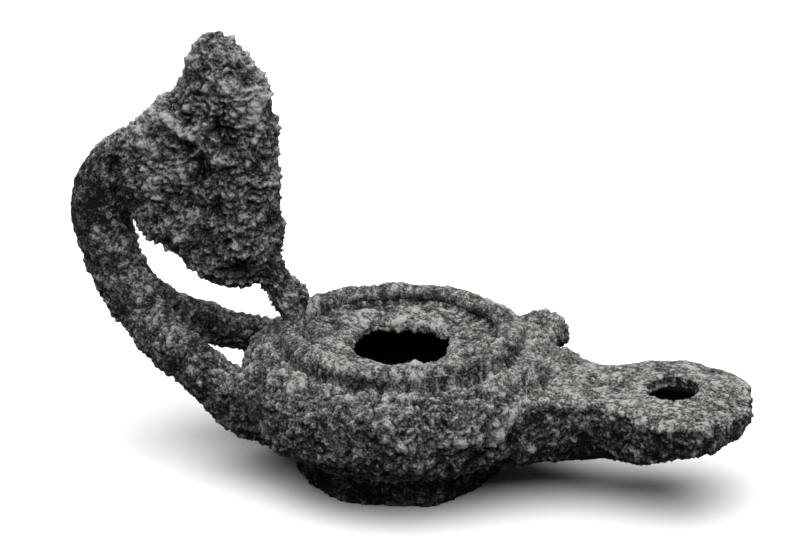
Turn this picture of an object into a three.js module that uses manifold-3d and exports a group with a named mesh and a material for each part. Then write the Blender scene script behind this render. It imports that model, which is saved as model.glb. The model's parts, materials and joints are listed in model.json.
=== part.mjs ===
// Roman oil lamp, cast in one: a bowl on a low ring foot, a long nozzle, a handle of two stems that
// join into one, and a leaf-shaped shield whose tip rests on the collar.
// Millimetres, +Z up, +X towards the nozzle. The origin is under the middle of the lamp's own box,
// on the surface that it stands on.
import * as THREE from 'three';
import { mergeVertices } from 'three/addons/utils/BufferGeometryUtils.js';
import Module from 'manifold-3d';

const wasm = await Module();
wasm.setup();

// Driving dimensions. Heights are above the surface, and x and y are from the bowl's axis.
const wall = 3;
const foot = { radius: 24.6, topRadius: 25.8, height: 9.6, inner: 20, recess: 2.4 };
const bowl = { radius: 38.2, widest: 21.5, shoulderRadius: 30.8, shoulder: 32.3 };
const collar = { outer: 29.2, crest: 35.9, flatOuter: 27, flatInner: 24.3, inner: 21.8, floor: 33.4 };
const fillHole = { radius: 12.5, lipRadius: 15.4, lip: 32.4 };
const reservoir = { floor: 6, ceiling: 29.9 };
const nozzle = { endX: 66, endRadius: 19.6, top: 28, under: 8.4, endUnder: 17, cant: 0.05 };
const wickHole = { x: 67, long: 12.4, across: 13.4 };
const channel = { halfWidth: 9.3, endX: 76.5 };
const lug = { x: 28.5, y: 25, z: 26.9, length: 7, height: 5 };
const stem = { spread: 18, nearThick: 6.6, farThick: 4.9, halfWidth: 4.6, nearLift: 3.6 };
const strap = { halfWidth: 6, halfThick: 7.5, topHalfThick: 5 };
const shield = { x: -50, z: 71, halfThick: 6.4, leanBack: 0.06 };
const knob = { x: -27.2, z: 40.4, radius: 5 };

// A closed geometry as a solid that can be joined and cut.
function solidOf(geometry) {
  geometry.deleteAttribute('normal');
  geometry.deleteAttribute('uv');
  const merged = mergeVertices(geometry, 1e-4);
  return new wasm.Manifold(new wasm.Mesh({
    numProp: 3,
    vertProperties: new Float32Array(merged.attributes.position.array),
    triVerts: new Uint32Array(merged.index.array),
  }));
}

function geometryOf(solid) {
  const { vertProperties, triVerts } = solid.getMesh();
  const geometry = new THREE.BufferGeometry();
  geometry.setAttribute('position', new THREE.BufferAttribute(vertProperties, 3));
  geometry.setIndex(new THREE.BufferAttribute(triVerts, 1));
  geometry.computeVertexNormals();
  return geometry;
}

// A round form about the vertical axis, from its half outline.
function turned(outline, segments) {
  return new THREE.LatheGeometry(outline.getPoints(5), segments).rotateX(Math.PI / 2);
}

// A closed skin drawn along a body: place(t, a, b) puts the point (a, b) of a unit disc at the
// station t, from 0 at the start to 1 at the end.
function lofted(sides, steps, place) {
  const geometry = new THREE.CylinderGeometry(1, 1, 1, sides, steps);
  const points = geometry.attributes.position;
  for (let i = 0; i < points.count; i += 1) {
    const p = place(points.getY(i) + 0.5, points.getX(i), points.getZ(i));
    points.setXYZ(i, p.x, p.y, p.z);
  }
  return geometry;
}

// A coordinate of a round section pushed out towards a square one.
const squared = (value, power) => Math.sign(value) * Math.abs(value) ** power;

function bowlSolid() {
  const outline = new THREE.Path();
  outline.moveTo(0, foot.recess);
  outline.lineTo(foot.inner, foot.recess);
  outline.lineTo(foot.inner + 0.8, 0);
  outline.lineTo(foot.radius - 0.8, 0);
  outline.lineTo(foot.radius, 0.8);
  outline.lineTo(foot.topRadius, foot.height - 1);
  outline.lineTo(foot.topRadius - 0.5, foot.height);
  outline.bezierCurveTo(bowl.radius - 5, foot.height + 0.6, bowl.radius, bowl.widest - 8,
    bowl.radius, bowl.widest);
  outline.bezierCurveTo(bowl.radius, bowl.widest + 6, bowl.shoulderRadius + 5, bowl.shoulder - 1,
    bowl.shoulderRadius, bowl.shoulder);
  outline.lineTo(collar.outer, bowl.shoulder + 0.5);
  outline.quadraticCurveTo(collar.outer, collar.crest, collar.flatOuter, collar.crest);
  outline.lineTo(collar.flatInner, collar.crest - 0.2);
  outline.quadraticCurveTo(collar.inner, collar.crest - 0.4, collar.inner, collar.floor);
  outline.lineTo(fillHole.lipRadius, fillHole.lip);
  outline.quadraticCurveTo(fillHole.radius + 0.2, fillHole.lip, fillHole.radius - 0.5, fillHole.lip - 1.4);
  outline.lineTo(0, fillHole.lip - 1.4);
  return solidOf(turned(outline, 56));
}

function reservoirSolid() {
  const inner = bowl.radius - wall;
  const outline = new THREE.Path();
  outline.moveTo(0, reservoir.floor);
  outline.lineTo(foot.inner - 1, reservoir.floor);
  outline.lineTo(foot.topRadius - wall - 0.4, foot.height + 1);
  outline.bezierCurveTo(inner - 7, foot.height + 4, inner, bowl.widest - 6, inner, bowl.widest);
  outline.bezierCurveTo(inner, bowl.widest + 4, inner - 4, reservoir.ceiling - 1,
    bowl.shoulderRadius - 3, reservoir.ceiling);
  outline.lineTo(0, reservoir.ceiling);
  return solidOf(turned(outline, 40));
}

// The nozzle's edge in plan: it narrows from the bowl to a waist and opens into a round end.
function nozzleEdge() {
  const neck = new THREE.SplineCurve([
    new THREE.Vector2(16, 30),
    new THREE.Vector2(27, 24.8),
    new THREE.Vector2(36, 18.8),
    new THREE.Vector2(43, 15.4),
    new THREE.Vector2(50, 13.2),
    new THREE.Vector2(55.5, 13.3),
    new THREE.Vector2(60.2, 16.2),
    new THREE.Vector2(nozzle.endX, nozzle.endRadius),
  ]);
  const end = new THREE.EllipseCurve(nozzle.endX, 0, nozzle.endRadius, nozzle.endRadius,
    Math.PI / 2, 0.14, true);
  const edge = new THREE.CurvePath();
  edge.add(neck);
  edge.add(end);
  return edge;
}

function nozzleSolid() {
  const edge = nozzleEdge();
  const middle = nozzle.top - 5;
  return solidOf(lofted(24, 24, (t, a, b) => {
    const { x, y: halfWidth } = edge.getPoint(t);
    const past = Math.max(0, x - nozzle.endX) / nozzle.endRadius;
    const rounding = (1 - past ** 2) ** 0.3;
    const under = THREE.MathUtils.lerp(nozzle.under, nozzle.endUnder, THREE.MathUtils.smoothstep(x, 40, 88));
    const y = -halfWidth * squared(a, b > 0 ? 0.4 : 0.8);
    const z = b > 0 ? (nozzle.top - middle) * squared(b, 0.3) : (middle - under) * squared(b, 0.75);
    const cant = nozzle.cant * THREE.MathUtils.smoothstep(x, 48, 64);
    return new THREE.Vector3(x, y, middle + z * rounding + cant * y);
  }));
}

function channelSolid() {
  const start = 14;
  const round = 10;
  return solidOf(lofted(14, 10, (t, a, b) => {
    const x = start + (channel.endX - start) * t;
    const past = Math.max(0, x - (channel.endX - round)) / round;
    const taper = Math.max(0.25, Math.sqrt(1 - past ** 2));
    const rise = THREE.MathUtils.smoothstep(x, 40, 88) * (nozzle.endUnder - nozzle.under);
    const low = nozzle.under + wall + 0.5 + rise;
    const high = nozzle.top - wall;
    return new THREE.Vector3(x, -channel.halfWidth * taper * squared(a, 0.7),
      (low + high) / 2 + (high - low) / 2 * squared(b, 0.7) * taper ** 0.3);
  }));
}

function hole(x, radiusX, radiusY, low, high, sides) {
  const geometry = new THREE.CylinderGeometry(1, 1, high - low, sides).rotateX(Math.PI / 2);
  return solidOf(geometry.scale(radiusX, radiusY, 1).translate(x, 0, (low + high) / 2));
}

// A bar drawn along a curve, with its width across the lamp and its thickness in the curve's own plane.
function barSolid(route, sides, steps, halfWidthAt, halfThickAt) {
  const across = new THREE.Vector3(0, 1, 0);
  return solidOf(lofted(sides, steps, (t, a, b) => {
    const forward = route.getTangent(t);
    const side = across.clone().addScaledVector(forward, -across.dot(forward)).normalize();
    const out = new THREE.Vector3().crossVectors(side, forward);
    return route.getPoint(t)
      .addScaledVector(side, a * halfWidthAt(t))
      .addScaledVector(out, b * halfThickAt(t));
  }));
}

const point = (x, y, z) => new THREE.Vector3(x, y, z);

// One stem of the fork, from inside the bowl's wall to where the two stems join.
function stemSolid(side, halfThick) {
  const y = stem.spread * side;
  const lift = side < 0 ? stem.nearLift : 0;
  const route = new THREE.CatmullRomCurve3([
    point(-22, y * 0.94, 14),
    point(-32, y, 18),
    point(-41, y * 0.96, 22 + lift * 0.6),
    point(-48, y * 0.82, 24.2 + lift),
    point(-55, y * 0.6, 27.8 + lift * 0.6),
    point(-62, y * 0.3, 33.2 + lift * 0.2),
    point(-68.5, 0, 40.5),
  ]);
  return barSolid(route, 12, 12, () => stem.halfWidth, () => halfThick);
}

// The joined stems, which rise, turn over at the top and run into the shield.
function strapSolid() {
  const route = new THREE.CatmullRomCurve3([
    point(-60.5, 0, 31.5),
    point(-67.5, 0, 38),
    point(-72, 0, 45),
    point(-74.2, 0, 52),
    point(-75.3, 0, 59),
    point(-75.5, 0, 65.5),
    point(-73.4, 0, 71),
    point(-67.5, 0, 75.5),
    point(-60, 0, 79.5),
  ]);
  return barSolid(route, 16, 20,
    (t) => strap.halfWidth * (1 - 0.5 * THREE.MathUtils.smoothstep(t, 0.8, 1)),
    (t) => THREE.MathUtils.lerp(strap.halfThick, strap.topHalfThick, THREE.MathUtils.smoothstep(t, 0.45, 0.8)));
}

// The shield: a sphere flattened between its two faces, its equator drawn out to the leaf's edge.
function shieldSolid() {
  const edge = new THREE.CatmullRomCurve3([
    point(-30.4, 0, 76),
    point(-32.3, 0, 91),
    point(-36.5, 0, 98.8),
    point(-42, 0, 105),
    point(-46.5, 0, 106.5),
    point(-52, 0, 101),
    point(-55.2, 0, 92.3),
    point(-61.8, 0, 86),
    point(-69.5, 0, 78.8),
    point(-70.4, 0, 69),
    point(-67.6, 0, 57.5),
    point(-62.5, 0, 51.6),
    point(-55.5, 0, 49.4),
    point(-49, 0, 44.2),
    point(-43, 0, 42.5),
    point(-36, 0, 43),
    point(-30.5, 0, 48.5),
    point(-29.4, 0, 60),
  ], true);
  const geometry = new THREE.SphereGeometry(1, 42, 10);
  const points = geometry.attributes.position;
  const uv = geometry.attributes.uv;
  const middle = point(shield.x, 0, shield.z);
  for (let i = 0; i < points.count; i += 1) {
    const reach = Math.sin(Math.PI * uv.getY(i));
    const face = Math.cos(Math.PI * uv.getY(i));
    const p = edge.getPointAt((uv.getX(i) + 1) % 1).sub(middle).multiplyScalar(reach ** 0.8).add(middle);
    p.y = shield.halfThick * squared(face, 0.75) + shield.leanBack * (p.z - shield.z);
    points.setXYZ(i, p.x, p.y, p.z);
  }
  return solidOf(geometry);
}

function knobSolid() {
  const ball = new THREE.SphereGeometry(knob.radius, 16, 12).translate(knob.x, 0, knob.z);
  const route = new THREE.CatmullRomCurve3([
    point(-38, 0, 52),
    point(-33, 0, 47.5),
    point(knob.x - 1, 0, knob.z + 1.5),
  ]);
  const neck = barSolid(route, 14, 6, () => 4.6, (t) => 5.4 - 1.4 * t);
  return solidOf(ball).add(neck);
}

function lugSolid() {
  const geometry = new THREE.SphereGeometry(1, 16, 10);
  return solidOf(geometry.scale(lug.length, lug.length, lug.height).translate(lug.x, lug.y, lug.z));
}

function lampGeometry() {
  const body = bowlSolid()
    .add(nozzleSolid())
    .add(lugSolid())
    .add(stemSolid(-1, stem.nearThick))
    .add(stemSolid(1, stem.farThick))
    .add(strapSolid())
    .add(shieldSolid())
    .add(knobSolid());
  const hollow = reservoirSolid()
    .add(channelSolid())
    .add(hole(0, fillHole.radius, fillHole.radius, reservoir.ceiling - 2, 40, 40))
    .add(hole(wickHole.x, wickHole.long / 2, wickHole.across / 2, 21, 32, 28));
  return geometryOf(body.subtract(hollow));
}

const bronze = new THREE.MeshStandardMaterial({ color: 0x4a4843, roughness: 0.95, metalness: 0.1 });
const lamp = new THREE.Mesh(lampGeometry(), bronze);
lamp.name = 'lamp';
lamp.geometry.computeBoundingBox();
const box = lamp.geometry.boundingBox;
lamp.position.set(-(box.min.x + box.max.x) / 2, -(box.min.y + box.max.y) / 2, -box.min.z);

const root = new THREE.Group();
root.add(lamp);
export default root;
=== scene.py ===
import json
import math

import bmesh
import bpy
import numpy as np
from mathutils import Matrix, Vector, noise


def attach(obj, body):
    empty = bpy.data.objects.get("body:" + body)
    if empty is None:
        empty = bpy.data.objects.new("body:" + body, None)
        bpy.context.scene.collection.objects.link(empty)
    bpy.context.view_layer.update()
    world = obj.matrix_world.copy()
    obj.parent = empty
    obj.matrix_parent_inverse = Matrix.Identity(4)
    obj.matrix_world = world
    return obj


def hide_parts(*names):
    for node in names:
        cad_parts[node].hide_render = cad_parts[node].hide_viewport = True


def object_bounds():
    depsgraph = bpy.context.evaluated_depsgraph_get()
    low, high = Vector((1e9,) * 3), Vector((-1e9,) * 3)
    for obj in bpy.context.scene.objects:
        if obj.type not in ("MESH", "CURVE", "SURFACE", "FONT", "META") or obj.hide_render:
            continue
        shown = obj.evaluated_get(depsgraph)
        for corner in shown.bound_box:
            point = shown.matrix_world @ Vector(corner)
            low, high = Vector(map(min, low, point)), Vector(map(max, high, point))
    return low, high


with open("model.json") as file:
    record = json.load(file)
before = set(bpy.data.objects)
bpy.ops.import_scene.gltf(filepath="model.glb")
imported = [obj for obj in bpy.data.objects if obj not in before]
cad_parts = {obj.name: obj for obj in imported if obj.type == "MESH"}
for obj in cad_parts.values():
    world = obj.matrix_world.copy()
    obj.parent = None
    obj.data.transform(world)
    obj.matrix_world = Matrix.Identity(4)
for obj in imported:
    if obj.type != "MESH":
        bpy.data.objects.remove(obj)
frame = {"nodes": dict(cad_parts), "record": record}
cadLow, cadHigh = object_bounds()
openings = {o["name"]: o["box_m"] for o in frame["record"]["physics"]["openings"]}
holeLow, holeHigh = openings["filling_hole"]
bowlAxis = Vector(((holeLow[0] + holeHigh[0]) / 2, 0, 0))
print("frame loaded", [round(v, 4) for v in cadHigh - cadLow])

# Camera, floor and light

studio = {
    "azimuth": 15.5,
    "elevation": 22.5,
    "distance": 0.9,
    "lens": 170.1,
    "aimHeight": 0.0486,
    "floorSize": 6.0,
    "floorColor": (0.86, 0.86, 0.86, 1),
    "floorBounce": (0.1, 0.1, 0.1, 1),
    "skyColor": (1, 1, 1, 1),
    "skyStrength": 0.05,
    "lights": [
        # name, place, size, watts
        ("overhead", (0.1, -0.2, 1.2), 2.2, 52),
    ],
}


def makeStudio(s):
    scene = bpy.context.scene
    aim = bowlAxis + Vector((0, 0, s["aimHeight"]))
    turn, rise = math.radians(s["azimuth"]), math.radians(s["elevation"])
    back = Vector((math.sin(turn) * math.cos(rise), -math.cos(turn) * math.cos(rise), math.sin(rise)))
    camera = bpy.data.objects.new("camera", bpy.data.cameras.new("camera"))
    camera.data.lens = s["lens"]
    camera.data.sensor_width = 36
    camera.data.clip_start = 0.05
    camera.location = aim + back * s["distance"]
    camera.rotation_euler = back.to_track_quat("Z", "Y").to_euler()
    scene.collection.objects.link(camera)
    scene.camera = camera

    mesh = bpy.data.meshes.new("floor")
    bm = bmesh.new()
    bmesh.ops.create_grid(bm, x_segments=1, y_segments=1, size=s["floorSize"] / 2)
    bm.to_mesh(mesh)
    bm.free()
    floor = bpy.data.objects.new("floor", mesh)
    scene.collection.objects.link(floor)
    paint = bpy.data.materials.new("palePaper")
    paint.use_nodes = True
    paper = paint.node_tree.nodes["Principled BSDF"]
    # pale to the camera, dark to bounced light, so the floor throws little light back onto the lamp
    seen = paint.node_tree.nodes.new("ShaderNodeLightPath")
    lightAndShade = paint.node_tree.nodes.new("ShaderNodeMix")
    lightAndShade.data_type = "RGBA"
    lightAndShade.inputs["A"].default_value = s["floorBounce"]
    lightAndShade.inputs["B"].default_value = s["floorColor"]
    paint.node_tree.links.new(seen.outputs["Is Camera Ray"], lightAndShade.inputs["Factor"])
    paint.node_tree.links.new(lightAndShade.outputs["Result"], paper.inputs["Base Color"])
    paper.inputs["Roughness"].default_value = 0.9
    paper.inputs["Specular IOR Level"].default_value = 0.1
    mesh.materials.append(paint)

    for name, place, size, watts in s["lights"]:
        lamp = bpy.data.lights.new(name, "AREA")
        lamp.size = size
        lamp.energy = watts
        light = bpy.data.objects.new(name, lamp)
        light.location = place
        light.rotation_euler = (Vector(place) - aim).to_track_quat("Z", "Y").to_euler()
        scene.collection.objects.link(light)

    sky = bpy.data.worlds.new("sky")
    sky.use_nodes = True
    sky.node_tree.nodes["Background"].inputs["Color"].default_value = s["skyColor"]
    sky.node_tree.nodes["Background"].inputs["Strength"].default_value = s["skyStrength"]
    scene.world = sky
    scene.view_settings.view_transform = "Standard"


makeStudio(studio)
print("studio ready")

# Form of the lamp

form = {
    "voxel": 0.0004,
    "settle": 4,
    "mostTriangles": 195000,
}


def smooth(value, start, end):
    t = np.clip((value - start) / (end - start), 0, 1)
    return t * t * (3 - 2 * t)


def asObject(mesh, name):
    piece = bpy.data.objects.new(name, mesh)
    bpy.context.scene.collection.objects.link(piece)
    return piece


def applied(piece):
    shown = piece.evaluated_get(bpy.context.evaluated_depsgraph_get())
    mesh = bpy.data.meshes.new_from_object(shown)
    piece.modifiers.clear()
    piece.data = mesh
    return piece


def castLamp(s):
    bm = bmesh.new()
    bm.from_mesh(frame["nodes"]["lamp"].data)
    bmesh.ops.remove_doubles(bm, verts=bm.verts, dist=1e-6)
    mesh = bpy.data.meshes.new("cast")
    bm.to_mesh(mesh)
    bm.free()
    cast = asObject(mesh, "cast")
    remesh = cast.modifiers.new("skin", "REMESH")
    remesh.mode = "VOXEL"
    remesh.voxel_size = s["voxel"]
    settle = cast.modifiers.new("settle", "SMOOTH")
    settle.factor = 0.5
    settle.iterations = s["settle"]
    return applied(cast)


def meshArrays(mesh):
    places = np.empty(len(mesh.vertices) * 3)
    mesh.vertices.foreach_get("co", places)
    normals = np.empty(len(mesh.vertices) * 3)
    mesh.vertex_normals.foreach_get("vector", normals)
    return places.reshape(-1, 3), normals.reshape(-1, 3)


def each(points, size, read):
    return np.array([read(Vector(p)) for p in (points / size).tolist()])


cast = castLamp(form)
print("cast", len(cast.data.vertices), "vertices")

# The crust, in millimetres from the bowl's axis

crust = {
    # layer: size of its features, usual height
    "swell": (13.0, 0.35),
    "lumps": (5.0, 0.32),
    "crags": (2.1, 0.27),
    "grains": (1.0, 0.13),
    "pits": (2.0, 0.45),
    "warp": (4.0, 1.3),
    "innerGroove": {"radius": 22.4, "width": 1.1, "depth": 2.4},
    "outerGroove": {"radius": 30.3, "width": 1.4, "depth": 1.9},
    "ringCrown": {"radius": 26.0, "width": 2.2, "depth": -0.7},
}

loopTop = [(-66.5, 0, 63), (-65.5, 0, 57), (-63.5, 0, 53)]

# Worked strokes, listed one by one: points along the stroke, how wide, how high (minus cuts in)
strokes = [
    # the line between strap and shield, on both faces
    ([(-68.6, -6.5, 79), (-69, -6.5, 74), (-69, -6.5, 67.5), (-67, -6, 62)], 1.5, -2.3),
    ([(-68.6, 6.5, 79), (-69, 6.5, 74), (-69, 6.5, 67.5), (-67, 6, 62)], 1.5, -2.0),
    # the narrow top of the finger loop
    (loopTop, 4.2, -1.7),
    # ridge and hollows on the shield's near face
    ([(-60.9, -4, 84.7), (-55.5, -5, 83.8), (-49.3, -6.4, 81)], 1.5, 1.2),
    ([(-58, -5, 81), (-52, -6, 79), (-47.6, -6, 75.2)], 2.0, -1.4),
    ([(-43.3, -5, 84.3), (-39.9, -5.6, 80.7)], 1.8, -1.7),
    ([(-51.4, -5, 86.1)], 1.4, -1.2),
    ([(-63, -6.2, 71.7)], 1.8, -1.2),
    ([(-35.1, -7, 52.5), (-40, -7, 48.5)], 1.8, -1.2),
    ([(-34, -3, 91.5), (-34.5, -3, 85)], 2.2, 0.6),
    ([(-55.8, -4.8, 84.9)], 1.1, 1.0),
    # hollows on its far face
    ([(-58, 7, 66), (-50, 7, 72)], 2.2, -1.4),
    ([(-42, 6, 58), (-38, 6, 64)], 1.8, -1.3),
    # cracks between ring and disc, and in the shoulder
    ([(6.4, -24.9, 36.3), (11.4, -23.7, 36.4), (16, -21, 36), (18.5, -20.4, 35.8)], 0.6, -1.4),
    ([(13.6, -24.5, 36.2), (17.2, -22, 35.8), (20.8, -18.2, 34.6)], 0.6, -1.2),
    ([(18.4, -26.5, 31), (22, -25.5, 31.6), (25.2, -21.9, 30.4)], 0.6, -1.0),
    ([(9.3, -31.7, 30.9), (13.3, -30.5, 30.9)], 0.8, -0.9),
    ([(2.1, -31.8, 31.9), (7.2, -31.3, 31.8)], 0.8, -0.9),
    ([(30.6, -19.7, 29), (34.8, -17.9, 27.5)], 0.5, -1.0),
    ([(26.4, -4, 36.2), (29.2, -1.3, 34.4)], 1.8, -1.3),
    # lump on the hole's lip, and the crease where the nozzle leaves the bowl
    ([(7, -12.3, 32.5)], 1.6, 1.4),
    ([(29.6, -24.9, 20.7), (32.6, -21.4, 23.9), (35.2, -17.7, 26.9)], 1.2, 1.0),
    ([(30, -27, 18.5), (34.5, -21.5, 19.5)], 2.0, -1.1),
]

# Pale mineral spots: place and radius
specks = [
    ((0.1, -37.8, 20.3), 1.25), ((18.5, -31, 14.5), 0.8), ((17.3, -31.6, 14.9), 0.6),
    ((-3.4, 12.2, 32.6), 1.0), ((7, -12.3, 33.4), 1.7), ((45.9, -13.3, 18.3), 0.9),
    ((57.5, -13.3, 26.2), 0.8), ((50.5, -11.2, 15.9), 0.6), ((45.2, -15, 22), 0.6),
    ((37.8, -18.9, 16.4), 0.6), ((-71.8, -4.9, 59.3), 1.1), ((-74.1, -6.4, 56), 1.0),
    ((-70.9, -6, 51.5), 0.9), ((-43.6, -21.1, 25.1), 0.9), ((-55.8, -5, 84.9), 1.3),
    ((-20, 31, 22), 1.1), ((12, 35, 18), 0.9), ((-72, 5.5, 66), 0.9), ((50, 12, 20), 0.9),
]


def regions(p, n):
    x, y, z = p.T
    radius = np.hypot(x, y)
    plate = smooth(z, 42, 48) * smooth(x, -73, -66)
    handle = smooth(x, -38, -44) * (1 - plate)
    nozzle = smooth(x, 36, 46)
    top = smooth(n[:, 2], 0.3, 0.7)
    foot = smooth(z, 11, 8.5) * smooth(radius, 30, 28)
    disc = smooth(z, 30.5, 32) * smooth(radius, 31, 29.5) * smooth(z, 39, 37.5)
    innerRadius = np.interp(
        z, [6, 10.6, 12.7, 14.9, 17.7, 21.5, 26.8, 29.9], [19, 22.4, 26.9, 31, 34, 35.2, 32.8, 27.8]
    )
    inBowl = (radius < innerRadius + 1.5) & (z > 4.2) & (z < 31.2) & (radius > 13.2)
    inBowl |= (radius <= 13.2) & (z > 4.2) & (z < 27)
    under = 8.4 + 8.6 * smooth(x, 40, 88)
    inNozzle = (x > 20) & (x < 78) & (np.abs(y) < 10.8) & (z > under + 1.7) & (z < 25.6)
    return {
        "plate": plate, "handle": handle, "nozzle": nozzle, "nozzleTop": nozzle * top,
        "nozzleSide": smooth(x, 26, 42) * (1 - top) * smooth(radius, 33, 38),
        "foot": foot, "disc": disc, "inside": (inBowl | inNozzle).astype(float), "radius": radius,
        "front": smooth(y, 8, -20),
    }


def even(values):
    return (values - values.mean()) / values.std()


def band(distance, width):
    return np.exp(-(distance / width) ** 2)


def toStroke(p, normals, points):
    # distance along the skin, so a stroke reaches it even where it lies a little above or below
    line = [np.array(v, float) for v in points]
    nearest = np.full(len(p), 1e3)
    for start, end in zip(line, line[1:] or line):
        along = end - start
        t = np.clip((p - start) @ along / max(along @ along, 1e-9), 0, 1)
        offset = p - start - t[:, None] * along
        lift = np.sum(offset * normals, axis=1)
        lift = np.where(np.abs(lift) < 2, 0.9 * lift, 0)
        nearest = np.minimum(nearest, np.linalg.norm(offset - lift[:, None] * normals, axis=1))
    return nearest


def growCrust(piece, s):
    mesh = piece.data
    places, normals = meshArrays(mesh)
    p = (places - np.array(bowlAxis)) * 1000
    r = regions(p, normals)
    size, reach = s["warp"]
    warped = p + reach * np.array([noise.noise_vector(Vector(v)) for v in (p / size).tolist()])

    layers = {
        "swell": even(each(p, s["swell"][0], noise.noise)),
        "lumps": even(each(p, s["lumps"][0], lambda q: noise.fractal(q, 1, 2, 2))),
        "crags": even(each(warped, s["crags"][0], lambda q: noise.turbulence(q, 3, True))),
        "grains": even(each(p + 40, s["grains"][0], lambda q: noise.turbulence(q, 2, True))),
    }
    hollow = even(each(warped + 90, s["pits"][0], lambda q: noise.fractal(q, 0.9, 2, 2)))
    layers["pits"] = -np.clip(hollow - 1.1, 0, 1.6)
    flat = np.abs(normals[:, 1])
    rough = 1 + (0.65 * flat - 0.15) * r["plate"] - 0.7 * r["nozzleTop"] - 0.5 * r["foot"]
    rough = rough - r["handle"] * (0.3 + 0.35 * smooth(p[:, 2], 40, 60))
    rough = rough - 0.5 * r["disc"] - 0.3 * r["nozzleSide"]
    rough = rough * (1 - 0.75 * band(toStroke(p, normals, loopTop), 5))
    fine = sum(s[name][1] * layers[name] for name in ("crags", "grains", "pits")) * rough
    broad = s["swell"][1] * layers["swell"] + s["lumps"][1] * layers["lumps"] * rough
    shadow = np.zeros(len(p))
    grooves = {"innerGroove": 1 - 0.6 * r["front"], "outerGroove": 0.2 + 0.8 * r["front"], "ringCrown": 1}
    for groove, side in grooves.items():
        g = s[groove]
        cut = g["depth"] * side * band(r["radius"] - g["radius"], g["width"]) * r["disc"]
        broad = broad - cut
        shadow += np.clip(cut, 0, 2)
    fine -= fine[r["inside"] < 0.5].mean()
    wander = p + 0.5 * np.array([noise.noise_vector(Vector(v)) for v in (p / 1.6).tolist()])
    worked = np.zeros(len(p))
    for points, width, height in strokes:
        worked += height * band(toStroke(wander, normals, points), width)
    broad = broad + worked
    speck = np.zeros(len(p))
    for place, radius in specks:
        speck = np.maximum(speck, smooth(toStroke(wander, normals, [place]), radius * 1.15, radius * 0.8))
    broad = broad + 0.25 * speck
    moved = places + normals * ((broad + fine) * (1 - 0.8 * r["inside"]))[:, None] / 1000
    moved = np.clip(moved, np.array(cadLow), np.array(cadHigh))
    mesh.vertices.foreach_set("co", moved.ravel())
    # colour from the relief: pits, cuts and creases painted darker as painted shade, crests and raised
    # strokes paler as wear
    reliefShadeAndWear = fine / (0.45 * rough) + 0.35 * layers["lumps"] + 0.8 * np.clip(worked, -1.5, 1)
    x, y, z = p.T
    # painted light and shade: nozzle top and disc paler as if lit; foot, nozzle sides, strap, stems and
    # lower body darker as painted shade; the hollow inside painted dark; painted shadow in the grooves;
    # shield paler at its top and left side
    lightAndShade = 0.1 * r["nozzleTop"] - 0.12 * r["foot"] - 0.14 * r["nozzleSide"] - 0.5 * r["inside"]
    lightAndShade = lightAndShade - 0.11 * shadow + 0.04 * r["disc"]
    lightAndShade = lightAndShade - 0.28 * r["handle"] * smooth(z, 48, 60) * smooth(z, 78, 70)
    lightAndShade = lightAndShade + r["plate"] * (0.13 * smooth(z, 84, 96) + 0.16 * smooth(x, -52, -60) - 0.04)
    lightAndShade = lightAndShade - 0.14 * smooth(z, 31, 15) * (1 - r["nozzleSide"]) * (1 - r["handle"])
    lightAndShade = lightAndShade - 0.1 * r["handle"] * smooth(z, 50, 44)
    kept = {"reliefShadeAndWear": np.clip(0.5 + reliefShadeAndWear / 5, 0, 1), "lightAndShade": lightAndShade, "speck": speck}
    for name, values in kept.items():
        layer = mesh.attributes.new(name, "FLOAT", "POINT")
        layer.data.foreach_set("value", values.astype(np.float32))
    mesh.update()


growCrust(cast, crust)
print("crust grown")

# Pieces, cut where the crust hides the joint

pieceCuts = {
    # name: planes as (point, direction that is cut off), in millimetres from the bowl's axis
    "nozzle": [((40, 0, 0), (-1, 0, 0))],
    "bowl": [((40, 0, 0), (1, 0, 0)), ((-41, 0, 18), (-29, 0, 12))],
    "handle": [((-41, 0, 18), (29, 0, -12))],
}


def cutPiece(source, name, cuts):
    bm = bmesh.new()
    bm.from_mesh(source.data)
    for place, direction in cuts:
        geometry = bm.verts[:] + bm.edges[:] + bm.faces[:]
        bmesh.ops.bisect_plane(
            bm, geom=geometry, dist=1e-7, plane_co=bowlAxis + Vector(place) / 1000,
            plane_no=Vector(direction).normalized(), clear_outer=True,
        )
        rim = [e for e in bm.edges if e.is_boundary]
        for e in rim:
            e.smooth = False
        cap = bmesh.ops.triangle_fill(bm, edges=rim, use_beauty=False, normal=Vector(direction))
        bmesh.ops.holes_fill(bm, edges=[e for e in bm.edges if e.is_boundary], sides=0)
        for f in cap["geom"]:
            if isinstance(f, bmesh.types.BMFace):
                f.smooth = False
    mesh = bpy.data.meshes.new(name)
    bm.to_mesh(mesh)
    print(name, "open edges", sum(1 for e in bm.edges if not e.is_manifold))
    bm.free()
    return asObject(mesh, name)


def thinned(piece, most):
    count = sum(len(f.vertices) - 2 for f in piece.data.polygons)
    if count > most:
        thin = piece.modifiers.new("thin", "DECIMATE")
        thin.ratio = most / count
        applied(piece)
    print(piece.name, count, "triangles, now", sum(len(f.vertices) - 2 for f in piece.data.polygons))
    return piece


# Corroded bronze

bronze = {
    "dark": (0.006, 0.0058, 0.0053, 1),
    "middle": (0.093, 0.091, 0.085, 1),
    "pale": (0.36, 0.352, 0.335, 1),
    "grainScale": 1700,
    "patchScale": 110,
    "dustScale": 330,
    "roughness": 0.92,
}


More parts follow.
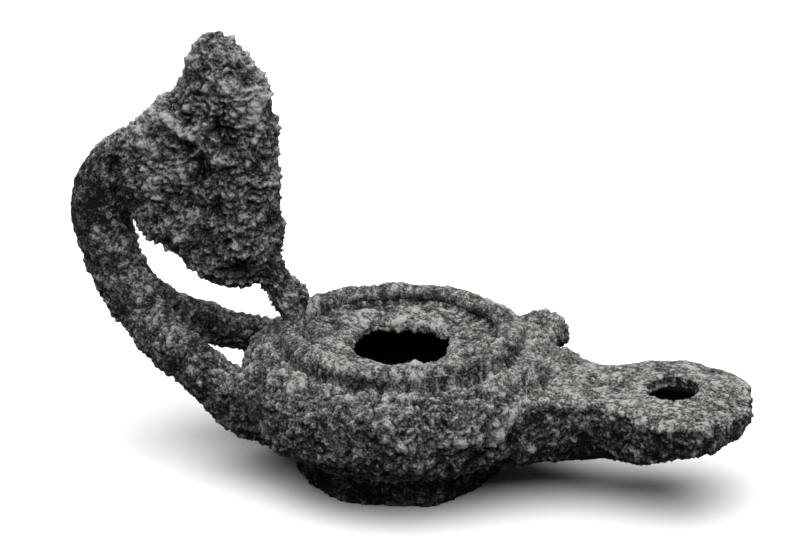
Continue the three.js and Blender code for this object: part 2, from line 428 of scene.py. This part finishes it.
def makeBronze(s):
    material = bpy.data.materials.new("corrodedBronze")
    material.use_nodes = True
    tree = material.node_tree
    nodes, links = tree.nodes, tree.links
    surface = nodes["Principled BSDF"]
    surface.inputs["Metallic"].default_value = 0
    surface.inputs["Specular IOR Level"].default_value = 0.25
    where = nodes.new("ShaderNodeTexCoord")

    def add(kind, **settings):
        node = nodes.new(kind)
        for key, value in settings.items():
            setattr(node, key, value)
        return node

    def grain(scale, detail, rough):
        node = add("ShaderNodeTexNoise")
        node.inputs["Scale"].default_value = scale
        node.inputs["Detail"].default_value = detail
        node.inputs["Roughness"].default_value = rough
        links.new(where.outputs["Object"], node.inputs["Vector"])
        return node.outputs["Fac"]

    def sums(operation, a, b, clamp=False):
        node = add("ShaderNodeMath", operation=operation, use_clamp=clamp)
        for socket, value in zip(node.inputs, (a, b)):
            if isinstance(value, (int, float)):
                socket.default_value = value
            else:
                links.new(value, socket)
        return node.outputs[0]

    def attribute(name):
        return add("ShaderNodeAttribute", attribute_name=name).outputs["Fac"]

    fine = grain(s["grainScale"], 4, 0.65)
    patches = grain(s["patchScale"], 3, 0.55)
    # painted shade in pits and creases and paler worn crests come from the relief; the noises are grain
    # and patches
    shade = sums("ADD", sums("MULTIPLY", attribute("reliefShadeAndWear"), 1.15), sums("MULTIPLY", fine, 1.9))
    shade = sums("ADD", shade, sums("MULTIPLY", patches, 0.4))
    # painted light and shade by region, from the attribute set on the crust
    shade = sums("ADD", sums("SUBTRACT", shade, 1.22), attribute("lightAndShade"))
    dust = add("ShaderNodeTexVoronoi")
    dust.inputs["Scale"].default_value = s["dustScale"]
    links.new(where.outputs["Object"], dust.inputs["Vector"])
    chips = add("ShaderNodeMapRange")
    chips.inputs["From Min"].default_value = 0.2
    chips.inputs["From Max"].default_value = 0.12
    links.new(dust.outputs["Distance"], chips.inputs["Value"])
    shade = sums("ADD", shade, sums("MULTIPLY", chips.outputs["Result"], 0.3))
    shade = sums("ADD", shade, sums("MULTIPLY", attribute("speck"), 0.45), True)
    ramp = add("ShaderNodeValToRGB")
    stops = ramp.color_ramp.elements
    stops[0].position, stops[0].color = 0.18, s["dark"]
    stops[1].position, stops[1].color = 0.9, s["pale"]
    middle = stops.new(0.52)
    middle.color = s["middle"]
    links.new(shade, ramp.inputs["Fac"])
    links.new(ramp.outputs["Color"], surface.inputs["Base Color"])
    surface.inputs["Roughness"].default_value = s["roughness"]

    bump = add("ShaderNodeBump")
    bump.inputs["Strength"].default_value = 1
    bump.inputs["Distance"].default_value = 0.0006
    links.new(fine, bump.inputs["Height"])
    links.new(bump.outputs["Normal"], surface.inputs["Normal"])
    return material


corrodedBronze = makeBronze(bronze)
for name, cuts in pieceCuts.items():
    piece = thinned(cutPiece(cast, name, cuts), form["mostTriangles"])
    for polygon in piece.data.polygons:
        polygon.use_smooth = True
    piece.data.materials.clear()
    piece.data.materials.append(corrodedBronze)
    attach(piece, "root")
    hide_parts("lamp")
bpy.data.objects.remove(cast)
print("pieces ready")
